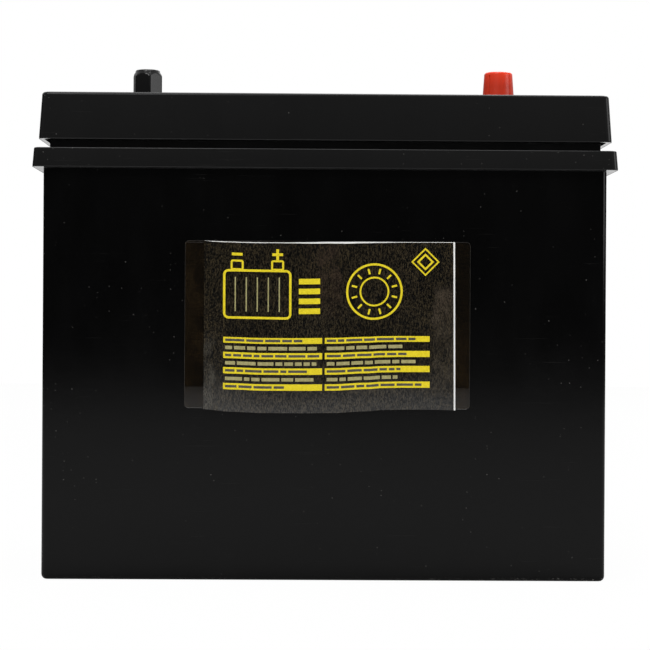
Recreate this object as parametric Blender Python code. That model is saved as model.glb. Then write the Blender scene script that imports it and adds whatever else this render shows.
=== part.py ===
"""Sealed deep cycle battery of 12 volts: six lead cells in a rimmed container under a glued lid.

Units are metres and +Z is up. The origin is the middle of the base. The long side at -Y carries
the label. Both terminals stand near the long side at +Y, the negative at -X, the positive at +X.
"""
import math

import bmesh
import bpy
from mathutils import Matrix

# Fits and facets
CLEARANCE = 0.0003
CUT_MARGIN = 0.001
EDGE = 0.0003
CORNER_STEPS = 6
ARC_STEPS = 4
ROUND_SIDES = 32
HIDDEN_SIDES = 16
CAP_SIDES = 96
SMOOTH_ANGLE = math.radians(35)

# Container
CASE_LENGTH = 0.2665
CASE_WIDTH = 0.1615
CORNER_RADIUS = 0.003
FOOT_RADIUS = 0.0025
WALL = 0.0032
FLOOR = 0.004
CELL_COUNT = 6
PARTITION = 0.002
RIM_BOTTOM = 0.1944
RIM_HEIGHT = 0.0091
RIM_OVERHANG = 0.00475
RIM_DRAFT = math.radians(4.1)
REBATE = 0.0006

# Lid
TONGUE_DEPTH = 0.006
TONGUE_WALL = 0.0026
NECK_HEIGHT = 0.00425
SKIRT_HEIGHT = 0.02225
SKIRT_OVERHANG = 0.00205
SKIRT_WALL = 0.0024
SKIRT_DRAFT = math.radians(3.3)
LID_EDGE_RADIUS = 0.0014
LID_PLATE = 0.003
MARK_SIZE = 0.012
MARK_BAR = 0.0034
MARK_RISE = 0.0006
MARK_GAP = 0.004

# Vents
NIPPLE_RADIUS = 0.0045
NIPPLE_BORE_RADIUS = 0.0025
NIPPLE_HEIGHT = 0.006
VALVE_WALL = 0.0017
VALVE_ROOF = 0.0015
VALVE_LIFT = 0.0008
VALVE_HEADROOM = 0.0007
WELL_MARGIN = 0.0045
WELL_CORNER_RADIUS = 0.004
COVER_THICKNESS = 0.0025
COVER_LEDGE = 0.003
COVER_PLUG_DEPTH = 0.003
COVER_PLUG_WALL = 0.0016
PRY_SLOT_LENGTH = 0.0025
PRY_SLOT_WIDTH = 0.01
FRIT_RADIUS = 0.006
FRIT_THICKNESS = 0.0024
FRIT_HOLDER_WALL = 0.0016
VENT_HOLE_RADIUS = 0.002

# Terminals
TERMINAL_INSET = 0.03375
RISER_RADIUS = 0.0044
RISER_WALL_GAP = 0.00045
BUSHING_RADIUS = 0.008
BUSHING_DEPTH = 0.0115
PAD_LIP = 0.002
SEAT_RISE = 0.002
SEAL_WIDTH = 0.0032
SEAL_DEPTH = 0.002
BOSS_RISE = 0.003
BOSS_WALL = 0.002
SOCKET_WALL = 0.0022
STUD_RADIUS = 0.004
STUD_HEIGHT = 0.0185
STUD_EMBED = 0.008
STUD_CHAMFER = 0.0008
STUD_WEB = 0.002

# Terminal caps
CAP_HEIGHT = 0.0159
CAP_ROOF = 0.0016
CAP_EDGE = 0.0007
HEX_CAP_FLATS = 0.0142
HEX_CAP_CORNERS = 0.0163
HEX_CAP_TURN = math.radians(-17)
HEX_CAP_CROWN_RADIUS = 0.00645
HEX_CAP_CROWN_HEIGHT = 0.001
HEX_CAP_SHOULDER = 0.0026
ROUND_CAP_RADIUS = 0.0085
ROUND_CAP_DRAFT = math.radians(4.0)
ROUND_CAP_EDGE = 0.0012
ROUND_CAP_GROOVES = 4
ROUND_CAP_GROOVE_DEPTH = 0.0006
ROUND_CAP_GROOVE_STOP = 0.0018
ROUND_CAP_TURN = math.radians(45.5)

# Cells
POSITIVE_PLATE = 0.0026
NEGATIVE_PLATE = 0.002
LEAST_MAT = 0.0009
MAT_OVERLAP = 0.003
LUG_WIDTH = 0.012
LUG_HEIGHT = 0.01
STRAP_WIDTH = 0.016
STRAP_THICKNESS = 0.005
STRAP_END_GAP = 0.0005
UPRIGHT_THICKNESS = 0.004
UPRIGHT_HEIGHT = 0.014
UPRIGHT_COVER = 0.004
LINK_RADIUS = 0.0042

# Label with its leaflet
LABEL_LENGTH = 0.1347
LABEL_HEIGHT = 0.079
LABEL_DROP = 0.0342
LABEL_OFFSET = 0.0013
LABEL_CORNER_RADIUS = 0.002
LABEL_FILM = 0.0003
LEAFLET_LEFT_MARGIN = 0.0091
LEAFLET_RIGHT_MARGIN = 0.0076
LEAFLET_TOP_MARGIN = 0.0002
LEAFLET_OVERHANG = 0.0006
LEAFLET_CORNER_RADIUS = 0.0008
PAGES_THICKNESS = 0.0006
COVER_LEAF = 0.0004

# Heights
RIM_TOP = RIM_BOTTOM + RIM_HEIGHT
PARTITION_TOP = RIM_TOP - TONGUE_DEPTH - CLEARANCE
TONGUE_BOTTOM = PARTITION_TOP + CLEARANCE
SKIRT_BOTTOM = RIM_TOP + NECK_HEIGHT
LID_TOP = SKIRT_BOTTOM + SKIRT_HEIGHT
LID_UNDERSIDE = LID_TOP - LID_PLATE
COVER_UNDERSIDE = LID_TOP - COVER_THICKNESS
COVER_SEAT = COVER_UNDERSIDE - CLEARANCE
VALVE_HEIGHT = NIPPLE_HEIGHT + VALVE_ROOF
WELL_FLOOR = COVER_UNDERSIDE - VALVE_HEADROOM - VALVE_LIFT - VALVE_HEIGHT - CLEARANCE
WELL_UNDERSIDE = WELL_FLOOR - LID_PLATE
BOSS_TOP = LID_TOP + BOSS_RISE
SEAL_SEAT = BOSS_TOP - SEAL_DEPTH
SEAT = BOSS_TOP + SEAT_RISE
STUD_TOP = SEAT + STUD_HEIGHT
STUD_BOTTOM = SEAT - STUD_EMBED
RISER_TOP = STUD_BOTTOM - STUD_WEB
BUSHING_BOTTOM = LID_UNDERSIDE - BUSHING_DEPTH
SOCKET_BOTTOM = BUSHING_BOTTOM - SOCKET_WALL
CAP_TOP = STUD_TOP + CLEARANCE + CAP_ROOF
CAP_BOTTOM = CAP_TOP - CAP_HEIGHT
UPRIGHT_TOP = PARTITION_TOP - UPRIGHT_COVER
STRAP_TOP = UPRIGHT_TOP - UPRIGHT_HEIGHT
STRAP_BOTTOM = STRAP_TOP - STRAP_THICKNESS
PLATE_TOP = STRAP_BOTTOM - LUG_HEIGHT
PLATE_BOTTOM = FLOOR + CLEARANCE
LINK_HEIGHT = STRAP_TOP + UPRIGHT_HEIGHT / 2

# Plan
MOUTH_WALL = WALL - REBATE
TONGUE_INSET = MOUTH_WALL + CLEARANCE
CELL_WIDTH = (CASE_LENGTH - 2 * WALL - (CELL_COUNT - 1) * PARTITION) / CELL_COUNT
CELL_PITCH = CELL_WIDTH + PARTITION
CELL_HALF_DEPTH = CASE_WIDTH / 2 - WALL
POCKET_HALF_LENGTH = CASE_LENGTH / 2 - TONGUE_INSET - TONGUE_WALL
POCKET_HALF_DEPTH = CASE_WIDTH / 2 - TONGUE_INSET - TONGUE_WALL
TERMINAL_Y = CASE_WIDTH / 2 - TERMINAL_INSET
TERMINAL_X = (CELL_COUNT / 2 - 1) * CELL_PITCH + PARTITION / 2 + RISER_WALL_GAP + RISER_RADIUS
VALVE_RADIUS = NIPPLE_RADIUS + CLEARANCE + VALVE_WALL
WELL_HALF_WIDTH = VALVE_RADIUS + WELL_MARGIN
WELL_LENGTH = (CELL_COUNT / 2 - 1) * CELL_PITCH + 2 * WELL_HALF_WIDTH
WELL_X = CELL_COUNT / 4 * CELL_PITCH
PAD_RADIUS = BUSHING_RADIUS + PAD_LIP
SEAL_INNER_RADIUS = PAD_RADIUS + CLEARANCE
SEAL_OUTER_RADIUS = SEAL_INNER_RADIUS + SEAL_WIDTH
BOSS_RADIUS = SEAL_OUTER_RADIUS + CLEARANCE + BOSS_WALL
MARK_X = TERMINAL_X - BOSS_RADIUS - MARK_GAP - MARK_SIZE / 2

# Plates across one cell: a negative at each end, mats squeezed to fill what the plates leave
PLATE_SPACE = CELL_WIDTH - 2 * CLEARANCE - NEGATIVE_PLATE
PAIR_PITCH = POSITIVE_PLATE + NEGATIVE_PLATE + 2 * (LEAST_MAT + 2 * CLEARANCE)
POSITIVE_COUNT = int(PLATE_SPACE / PAIR_PITCH)
PLATE_PAIR = PLATE_SPACE / POSITIVE_COUNT
PLATE_GAP = (PLATE_PAIR - POSITIVE_PLATE - NEGATIVE_PLATE) / 2
MAT = PLATE_GAP - 2 * CLEARANCE
PLATE_HALF_DEPTH = CELL_HALF_DEPTH - 2 * CLEARANCE - MAT

# Label stack, outwards from the case
LABEL_BOTTOM = RIM_BOTTOM - LABEL_DROP - LABEL_HEIGHT
FILM_BACK = CASE_WIDTH / 2 + CLEARANCE
PAGES_BACK = FILM_BACK + LABEL_FILM + CLEARANCE
LEAF_BACK = PAGES_BACK + PAGES_THICKNESS + CLEARANCE
LEAFLET_LENGTH = LABEL_LENGTH - LEAFLET_LEFT_MARGIN - LEAFLET_RIGHT_MARGIN
LEAFLET_HEIGHT = LABEL_HEIGHT - LEAFLET_TOP_MARGIN + LEAFLET_OVERHANG
LEAFLET_LEFT = LABEL_OFFSET - LABEL_LENGTH / 2 + LEAFLET_LEFT_MARGIN
LABEL_MIDDLE = LABEL_BOTTOM + LABEL_HEIGHT / 2
LEAFLET_MIDDLE = LABEL_BOTTOM - LEAFLET_OVERHANG + LEAFLET_HEIGHT / 2

# Axes that a flat outline is swept along: its own x and y become the two named axes
SWEEP_ALONG_X = Matrix(((0, 0, 1, 0), (1, 0, 0, 0), (0, 1, 0, 0), (0, 0, 0, 1)))
SWEEP_TO_FRONT = Matrix.Rotation(math.pi / 2, 4, "X")

# Finish: base colour, roughness, metallic
FINISHES = {
    "black_plastic": ((0.012, 0.012, 0.013), 0.38, 0.0),
    "black_cap_plastic": ((0.02, 0.02, 0.02), 0.45, 0.0),
    "red_plastic": ((0.56, 0.045, 0.02), 0.35, 0.0),
    "lead": ((0.2, 0.21, 0.23), 0.5, 1.0),
    "steel": ((0.56, 0.56, 0.55), 0.25, 1.0),
    "black_resin": ((0.015, 0.015, 0.016), 0.25, 0.0),
    "red_resin": ((0.45, 0.03, 0.02), 0.25, 0.0),
    "valve_rubber": ((0.03, 0.03, 0.03), 0.8, 0.0),
    "porous_polymer": ((0.75, 0.74, 0.7), 0.9, 0.0),
    "positive_paste": ((0.11, 0.05, 0.03), 0.85, 0.0),
    "negative_paste": ((0.24, 0.25, 0.27), 0.75, 0.0),
    "glass_mat": ((0.8, 0.8, 0.78), 0.9, 0.0),
    "clear_film": ((0.05, 0.045, 0.04), 0.12, 0.0),
    "paper": ((0.8, 0.79, 0.75), 0.7, 0.0),
    "printed_leaf": ((0.03, 0.029, 0.027), 0.3, 0.0),
}


def clear_scene():
    for item in list(bpy.data.objects):
        bpy.data.objects.remove(item, do_unlink=True)


def finish_material(name):
    """The named finish as a material, made on first use."""
    found = bpy.data.materials.get(name)
    if found:
        return found
    colour, roughness, metallic = FINISHES[name]
    made = bpy.data.materials.new(name)
    made.use_nodes = True
    shader = made.node_tree.nodes["Principled BSDF"]
    shader.inputs["Base Color"].default_value = (*colour, 1.0)
    shader.inputs["Roughness"].default_value = roughness
    shader.inputs["Metallic"].default_value = metallic
    return made


def add_object(name, shape, location=(0, 0, 0)):
    """Turn a bmesh into a linked object, smooth except at its sharp edges."""
    mesh = bpy.data.meshes.new(name)
    shape.to_mesh(mesh)
    shape.free()
    mesh.shade_smooth()
    mesh.set_sharp_from_angle(angle=SMOOTH_ANGLE)
    made = bpy.data.objects.new(name, mesh)
    made.location = location
    bpy.context.scene.collection.objects.link(made)
    return made


def add_piece(name, shape, finish, location=(0, 0, 0)):
    piece = add_object(name, shape, location)
    piece.data.materials.append(finish_material(finish))
    return piece


def combine(piece, operation, shapes):
    """Add or cut closed shapes, which must not touch each other, with a Boolean modifier."""
    tool = add_object(f"{piece.name}_{operation.lower()}_{len(piece.modifiers)}", join(shapes))
    tool.hide_render = True
    tool.display_type = "WIRE"
    tool.parent = piece
    change = piece.modifiers.new(tool.name, "BOOLEAN")
    change.operation = operation
    change.solver = "EXACT"
    change.object = tool


def join(shapes):
    whole = bmesh.new()
    for shape in shapes:
        scratch = bpy.data.meshes.new("scratch")
        shape.to_mesh(scratch)
        shape.free()
        whole.from_mesh(scratch)
        bpy.data.meshes.remove(scratch)
    return whole


def loft(levels, capped=True):
    """Skin outlines of equal point count, from the underside to the top of a closed body.

    Each level is an outline, anticlockwise seen from +Z, and its height. Without caps the last
    level runs back to the first, which makes a ring.
    """
    shape = bmesh.new()
    rings = [[shape.verts.new((x, y, z)) for x, y in outline] for outline, z in levels]
    if not capped:
        rings.append(rings[0])
    for low, high in zip(rings, rings[1:]):
        for here in range(len(low)):
            after = (here + 1) % len(low)
            shape.faces.new((low[here], low[after], high[after], high[here]))
    if capped:
        shape.faces.new(rings[0][::-1])
        shape.faces.new(rings[-1])
    return shape


def prism(outline, low, high):
    return loft([(outline, low), (outline, high)])


def swept(outline, low, high, sweep):
    shape = prism(outline, low, high)
    bmesh.ops.transform(shape, matrix=sweep, verts=shape.verts)
    return shape


def moved(shape, x, y):
    bmesh.ops.translate(shape, vec=(x, y, 0), verts=shape.verts)
    return shape


def rectangle(x_low, x_high, y_low, y_high):
    return [(x_low, y_low), (x_high, y_low), (x_high, y_high), (x_low, y_high)]


def circle(radius, sides=ROUND_SIDES):
    turn = 2 * math.pi / sides
    return [(radius * math.cos(i * turn), radius * math.sin(i * turn)) for i in range(sides)]


def rounded_rectangle(length, width, radius):
    points = []
    for quarter in range(4):
        x_side = 1 if quarter in (0, 3) else -1
        y_side = 1 if quarter < 2 else -1
        for step in range(CORNER_STEPS + 1):
            angle = (quarter + step / CORNER_STEPS) * math.pi / 2
            x = x_side * (length / 2 - radius) + radius * math.cos(angle)
            y = y_side * (width / 2 - radius) + radius * math.sin(angle)
            points.append((x, y))
    return points


def case_outline(grow):
    """Outline of the case, grown outwards or, where negative, shrunk inwards."""
    radius = max(CORNER_RADIUS + min(grow, 0), EDGE)
    return rounded_rectangle(CASE_LENGTH + 2 * grow, CASE_WIDTH + 2 * grow, radius)


def quarter_arc(radius):
    """Inset and rise of points round a quarter circle, from its flat start to its upright end."""
    for step in range(ARC_STEPS + 1):
        angle = step / ARC_STEPS * math.pi / 2
        yield radius * (1 - math.sin(angle)), radius * (1 - math.cos(angle))


def cell_middle(cell):
    return (cell - (CELL_COUNT - 1) / 2) * CELL_PITCH


def turned(levels, capped=True, sides=ROUND_SIDES):
    return loft([(circle(radius, sides), z) for radius, z in levels], capped)


def build_container():
    levels = [(case_outline(-inset), rise) for inset, rise in quarter_arc(FOOT_RADIUS)]
    rim_top_grow = RIM_OVERHANG - RIM_HEIGHT * math.tan(RIM_DRAFT)
    levels += [
        (case_outline(0), RIM_BOTTOM),
        (case_outline(RIM_OVERHANG - EDGE), RIM_BOTTOM),
        (case_outline(RIM_OVERHANG), RIM_BOTTOM + EDGE),
        (case_outline(rim_top_grow), RIM_TOP - EDGE),
        (case_outline(rim_top_grow - EDGE), RIM_TOP),
        (case_outline(-MOUTH_WALL), RIM_TOP),
        (case_outline(-MOUTH_WALL), PARTITION_TOP),
    ]
    container = add_piece("container", loft(levels), "black_plastic")
    pockets = []
    for cell in range(CELL_COUNT):
        x = cell_middle(cell)
        floor_plan = rectangle(x - CELL_WIDTH / 2, x + CELL_WIDTH / 2, -CELL_HALF_DEPTH, CELL_HALF_DEPTH)
        pockets.append(prism(floor_plan, FLOOR, PARTITION_TOP + CUT_MARGIN))
    combine(container, "DIFFERENCE", pockets)
    holes = []
    for link in range(CELL_COUNT - 1):
        x, y = link_place(link)
        half = PARTITION / 2 + CUT_MARGIN
        hole = swept(circle(LINK_RADIUS + CLEARANCE, HIDDEN_SIDES), x - half, x + half, SWEEP_ALONG_X)
        bmesh.ops.translate(hole, vec=(0, y, LINK_HEIGHT), verts=hole.verts)
        holes.append(hole)
    combine(container, "DIFFERENCE", holes)


def lid_pocket(cell):
    """Space under the lid over one cell, with a lower roof below the valve well."""
    x = cell_middle(cell)
    x_low = max(x - CELL_WIDTH / 2, -POCKET_HALF_LENGTH)
    x_high = min(x + CELL_WIDTH / 2, POCKET_HALF_LENGTH)
    step = WELL_HALF_WIDTH + LID_PLATE
    roof = [
        (-POCKET_HALF_DEPTH, TONGUE_BOTTOM - CUT_MARGIN),
        (POCKET_HALF_DEPTH, TONGUE_BOTTOM - CUT_MARGIN),
        (POCKET_HALF_DEPTH, LID_UNDERSIDE),
        (step, LID_UNDERSIDE),
        (step, WELL_UNDERSIDE),
        (-step, WELL_UNDERSIDE),
        (-step, LID_UNDERSIDE),
        (-POCKET_HALF_DEPTH, LID_UNDERSIDE),
    ]
    return swept(roof, x_low, x_high, SWEEP_ALONG_X)


def well_outline(grow):
    radius = max(WELL_CORNER_RADIUS + grow, EDGE)
    return rounded_rectangle(WELL_LENGTH + 2 * grow, 2 * (WELL_HALF_WIDTH + grow), radius)


def valve_well(side):
    """Hollow for three valves, with a ledge for its cover and a slot to pry the cover up."""
    recess = COVER_LEDGE + CLEARANCE
    levels = [
        (well_outline(0), WELL_FLOOR),
        (well_outline(0), COVER_SEAT),
        (well_outline(recess), COVER_SEAT),
        (well_outline(recess), LID_TOP + CUT_MARGIN),
    ]
    return moved(loft(levels), side * WELL_X, 0)


def pry_slot(side):
    end = side * (WELL_X + WELL_LENGTH / 2 + COVER_LEDGE)
    x_low, x_high = sorted((end - side * CUT_MARGIN, end + side * PRY_SLOT_LENGTH))
    plan = rectangle(x_low, x_high, -PRY_SLOT_WIDTH / 2, PRY_SLOT_WIDTH / 2)
    return prism(plan, COVER_UNDERSIDE, LID_TOP + CUT_MARGIN)


def polarity_mark(side):
    """Raised bar beside the negative terminal, raised cross beside the positive one."""
    arm, bar = MARK_SIZE / 2, MARK_BAR / 2
    if side < 0:
        outline = rectangle(-arm, arm, -bar, bar)
    else:
        outline = [
            (bar, -arm), (bar, -bar), (arm, -bar), (arm, bar), (bar, bar), (bar, arm),
            (-bar, arm), (-bar, bar), (-arm, bar), (-arm, -bar), (-bar, -bar), (-bar, -arm),
        ]
    return moved(prism(outline, LID_TOP - CUT_MARGIN, LID_TOP + MARK_RISE), side * MARK_X, TERMINAL_Y)


def build_lid():
    drop = SKIRT_HEIGHT - LID_PLATE
    roof_grow = SKIRT_OVERHANG - drop * math.tan(SKIRT_DRAFT)
    top_grow = SKIRT_OVERHANG - SKIRT_HEIGHT * math.tan(SKIRT_DRAFT)
    levels = [
        (case_outline(-TONGUE_INSET), TONGUE_BOTTOM),
        (case_outline(-TONGUE_INSET), LID_UNDERSIDE),
        (case_outline(roof_grow - SKIRT_WALL), LID_UNDERSIDE),
        (case_outline(SKIRT_OVERHANG - SKIRT_WALL), SKIRT_BOTTOM),
        (case_outline(SKIRT_OVERHANG - EDGE), SKIRT_BOTTOM),
        (case_outline(SKIRT_OVERHANG), SKIRT_BOTTOM + EDGE),
    ]
    top_edge = [(top_grow - inset, LID_TOP - rise) for inset, rise in quarter_arc(LID_EDGE_RADIUS)]
    levels += [(case_outline(grow), z) for grow, z in reversed(top_edge)]
    lid = add_piece("lid", loft(levels), "black_plastic")
    sides = (-1, 1)
    combine(lid, "DIFFERENCE", [lid_pocket(cell) for cell in range(CELL_COUNT)])
    combine(lid, "DIFFERENCE", [valve_well(side) for side in sides])
    combine(lid, "DIFFERENCE", [pry_slot(side) for side in sides])
    nipples = []
    bores = []
    for cell in range(CELL_COUNT):
        top = WELL_FLOOR + NIPPLE_HEIGHT
        tube = prism(circle(NIPPLE_RADIUS, HIDDEN_SIDES), WELL_FLOOR - CUT_MARGIN, top)
        nipples.append(moved(tube, cell_middle(cell), 0))
        hole = circle(NIPPLE_BORE_RADIUS, HIDDEN_SIDES)
        bore = prism(hole, WELL_UNDERSIDE - CUT_MARGIN, top + CUT_MARGIN)
        bores.append(moved(bore, cell_middle(cell), 0))
    bosses = []
    for side in sides:
        boss = turned([
            (BUSHING_RADIUS + CLEARANCE + SOCKET_WALL, SOCKET_BOTTOM),
            (BUSHING_RADIUS + CLEARANCE + SOCKET_WALL, LID_UNDERSIDE + CUT_MARGIN),
            (BOSS_RADIUS, LID_UNDERSIDE + CUT_MARGIN),
            (BOSS_RADIUS, BOSS_TOP - EDGE),
            (BOSS_RADIUS - EDGE, BOSS_TOP),
        ])
        bosses.append(moved(boss, side * TERMINAL_X, TERMINAL_Y))
        bore = turned([
            (RISER_RADIUS + CLEARANCE, SOCKET_BOTTOM - CUT_MARGIN),
            (RISER_RADIUS + CLEARANCE, BUSHING_BOTTOM - CLEARANCE),
            (BUSHING_RADIUS + CLEARANCE, BUSHING_BOTTOM - CLEARANCE),
            (BUSHING_RADIUS + CLEARANCE, SEAL_SEAT),
            (SEAL_OUTER_RADIUS + CLEARANCE, SEAL_SEAT),
            (SEAL_OUTER_RADIUS + CLEARANCE, BOSS_TOP + CUT_MARGIN),
        ])
        bores.append(moved(bore, side * TERMINAL_X, TERMINAL_Y))
    combine(lid, "UNION", nipples + bosses + [polarity_mark(side) for side in sides])
    combine(lid, "DIFFERENCE", bores)


def build_vents():
    for side, name in ((-1, "left"), (1, "right")):
        plug = well_outline(-CLEARANCE)
        plug_inside = well_outline(-CLEARANCE - COVER_PLUG_WALL)
        levels = [
            (plug_inside, COVER_UNDERSIDE),
            (plug_inside, COVER_UNDERSIDE - COVER_PLUG_DEPTH),
            (plug, COVER_UNDERSIDE - COVER_PLUG_DEPTH),
            (plug, COVER_UNDERSIDE),
            (well_outline(COVER_LEDGE), COVER_UNDERSIDE),
            (well_outline(COVER_LEDGE), LID_TOP - EDGE),
            (well_outline(COVER_LEDGE - EDGE), LID_TOP),
        ]
        cover = add_piece(f"vent_cover_{name}", loft(levels), "black_plastic", (side * WELL_X, 0, 0))
        frit_x = -side * CELL_PITCH / 2
        frit_top = COVER_UNDERSIDE - CLEARANCE
        frit_bottom = frit_top - FRIT_THICKNESS
        holder_bore = FRIT_RADIUS + CLEARANCE
        holder_radius = holder_bore + FRIT_HOLDER_WALL
        holder = prism(circle(holder_radius, HIDDEN_SIDES), frit_bottom, COVER_UNDERSIDE + EDGE)
        combine(cover, "UNION", [moved(holder, frit_x, 0)])
        hollow = turned([
            (holder_bore, frit_bottom - CUT_MARGIN),
            (holder_bore, frit_top + CLEARANCE),
            (VENT_HOLE_RADIUS, frit_top + CLEARANCE),
            (VENT_HOLE_RADIUS, LID_TOP + CUT_MARGIN),
        ], sides=HIDDEN_SIDES)
        combine(cover, "DIFFERENCE", [moved(hollow, frit_x, 0)])
        frit = prism(circle(FRIT_RADIUS, HIDDEN_SIDES), frit_bottom, frit_top)
        add_piece(f"flame_arrestor_{name}", frit, "porous_polymer", (side * WELL_X + frit_x, 0, 0))
    bottom = WELL_FLOOR + CLEARANCE
    top = bottom + VALVE_HEIGHT
    bore = NIPPLE_RADIUS + CLEARANCE
    for cell in range(CELL_COUNT):
        valve = turned([
            (bore, top - VALVE_ROOF), (bore, bottom), (VALVE_RADIUS, bottom),
            (VALVE_RADIUS, top - EDGE), (VALVE_RADIUS - EDGE, top),
        ], sides=HIDDEN_SIDES)
        add_piece(f"relief_valve_{cell + 1}", valve, "valve_rubber", (cell_middle(cell), 0, 0))


def hex_outline(limit):
    """Hexagon of the negative cap with its corners cut back to a circle of the given radius."""
    points = []
    for i in range(CAP_SIDES):
        angle = 2 * math.pi * i / CAP_SIDES
        from_flat = (angle + math.pi / 6) % (math.pi / 3) - math.pi / 6
        radius = min(HEX_CAP_FLATS / 2 / math.cos(from_flat), limit)
        points.append((radius * math.sin(angle + HEX_CAP_TURN), -radius * math.cos(angle + HEX_CAP_TURN)))
    return points


def cap_bore(turn):
    """Bore of a cap, with its points at the same angles as the cap's outside."""
    radius = STUD_RADIUS + CLEARANCE
    angles = [2 * math.pi * i / CAP_SIDES + turn for i in range(CAP_SIDES)]
    return [(radius * math.sin(angle), -radius * math.cos(angle)) for angle in angles]


def build_negative_cap(location):
    """Six-sided push-on cap whose corners are turned down to a round crown."""
    bore = cap_bore(HEX_CAP_TURN)
    crown_bottom = CAP_TOP - HEX_CAP_CROWN_HEIGHT
    corners = HEX_CAP_CORNERS / 2
    levels = [
        (bore, CAP_TOP - CAP_ROOF),
        (bore, CAP_BOTTOM),
        (hex_outline(corners - EDGE), CAP_BOTTOM),
        (hex_outline(corners), CAP_BOTTOM + EDGE),
    ]
    for step in range(ARC_STEPS + 1):
        share = step / ARC_STEPS
        limit = corners + (HEX_CAP_CROWN_RADIUS - corners) * share
        levels.append((hex_outline(limit), crown_bottom - HEX_CAP_SHOULDER * (1 - share)))
    for inset, rise in reversed(list(quarter_arc(CAP_EDGE))):
        levels.append((hex_outline(HEX_CAP_CROWN_RADIUS - inset), CAP_TOP - rise))
    add_piece("negative_cap", loft(levels), "black_cap_plastic", location)


def grooved_outline(radius, depth):
    """Circle of the positive cap with narrow grooves let into it."""
    points = []
    spacing = CAP_SIDES // ROUND_CAP_GROOVES
    for i in range(CAP_SIDES):
        angle = 2 * math.pi * i / CAP_SIDES + ROUND_CAP_TURN
        here = radius - depth if i % spacing == 0 else radius
        points.append((here * math.sin(angle), -here * math.cos(angle)))
    return points


def build_positive_cap(location):
    """Tapered round push-on cap with finger grooves and a rounded top edge."""
    def radius_at(z):
        return ROUND_CAP_RADIUS - (z - CAP_BOTTOM) * math.tan(ROUND_CAP_DRAFT)

    bore = cap_bore(ROUND_CAP_TURN)
    edge_bottom = CAP_TOP - ROUND_CAP_EDGE
    groove_top = CAP_TOP - ROUND_CAP_GROOVE_STOP
    depth = ROUND_CAP_GROOVE_DEPTH
    levels = [
        (bore, CAP_TOP - CAP_ROOF),
        (bore, CAP_BOTTOM),
        (grooved_outline(ROUND_CAP_RADIUS, depth), CAP_BOTTOM),
        (grooved_outline(radius_at(groove_top - depth), depth), groove_top - depth),
        (grooved_outline(radius_at(groove_top), 0), groove_top),
    ]
    for inset, rise in reversed(list(quarter_arc(ROUND_CAP_EDGE))):
        levels.append((grooved_outline(radius_at(edge_bottom) - inset, 0), CAP_TOP - rise))
    add_piece("positive_cap", loft(levels), "red_plastic", location)


def build_terminals():
    for side, pole, resin in ((-1, "negative", "black_resin"), (1, "positive", "red_resin")):
        place = (side * TERMINAL_X, TERMINAL_Y, 0)
        riser = turned([
            (RISER_RADIUS, STRAP_TOP + CLEARANCE),
            (RISER_RADIUS, RISER_TOP - CLEARANCE - EDGE),
            (RISER_RADIUS - EDGE, RISER_TOP - CLEARANCE),
        ], sides=HIDDEN_SIDES)
        add_piece(f"{pole}_post", riser, "lead", place)
        bushing = turned([
            (RISER_RADIUS + CLEARANCE, RISER_TOP),
            (RISER_RADIUS + CLEARANCE, BUSHING_BOTTOM),
            (BUSHING_RADIUS, BUSHING_BOTTOM),
            (BUSHING_RADIUS, SEAL_SEAT + CLEARANCE),
            (PAD_RADIUS, SEAL_SEAT + CLEARANCE),
            (PAD_RADIUS, SEAT - EDGE),
            (PAD_RADIUS - EDGE, SEAT),
            (STUD_RADIUS + CLEARANCE, SEAT),
            (STUD_RADIUS + CLEARANCE, STUD_BOTTOM),
        ])
        add_piece(f"{pole}_bushing", bushing, "lead", place)
        seal = turned([
            (SEAL_INNER_RADIUS, SEAL_SEAT + CLEARANCE),
            (SEAL_OUTER_RADIUS, SEAL_SEAT + CLEARANCE),
            (SEAL_OUTER_RADIUS, BOSS_TOP),
            (SEAL_INNER_RADIUS, BOSS_TOP),
        ], capped=False)
        add_piece(f"{pole}_seal", seal, resin, place)
        stud = turned([
            (STUD_RADIUS, STUD_BOTTOM + CLEARANCE),
            (STUD_RADIUS, STUD_TOP - STUD_CHAMFER),
            (STUD_RADIUS - STUD_CHAMFER, STUD_TOP),
        ])
        add_piece(f"{pole}_stud", stud, "steel", place)
    build_negative_cap((-TERMINAL_X, TERMINAL_Y, 0))
    build_positive_cap((TERMINAL_X, TERMINAL_Y, 0))


def strap_side(cell, pole):
    """Side of the cell, +1 or -1 along Y, where the strap of this pole runs."""
    first = 1 if cell % 2 == 0 else -1
    return first if pole == "negative" else -first


def link_place(link):
    """X and Y of the link from one cell's positive strap to the next cell's negative strap."""
    x = cell_middle(link) + CELL_PITCH / 2
    return x, strap_side(link, "positive") * TERMINAL_Y


def plate_starts(cell, pole):
    """X of the -X face of each plate of one pole in one cell."""
    start = cell_middle(cell) - CELL_WIDTH / 2 + CLEARANCE
    if pole == "negative":
        return [start + i * PLATE_PAIR for i in range(POSITIVE_COUNT + 1)]
    first = start + NEGATIVE_PLATE + PLATE_GAP
    return [first + i * PLATE_PAIR for i in range(POSITIVE_COUNT)]


def plate(x, thickness, lug_y):
    """One plate with its lug, which reaches halfway into the strap above it."""
    low, high = lug_y - LUG_WIDTH / 2, lug_y + LUG_WIDTH / 2
    lug_top = STRAP_BOTTOM + STRAP_THICKNESS / 2
    outline = [
        (-PLATE_HALF_DEPTH, PLATE_BOTTOM), (PLATE_HALF_DEPTH, PLATE_BOTTOM),
        (PLATE_HALF_DEPTH, PLATE_TOP), (high, PLATE_TOP), (high, lug_top),
        (low, lug_top), (low, PLATE_TOP), (-PLATE_HALF_DEPTH, PLATE_TOP),
    ]
    return swept(outline, x, x + thickness, SWEEP_ALONG_X)


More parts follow.
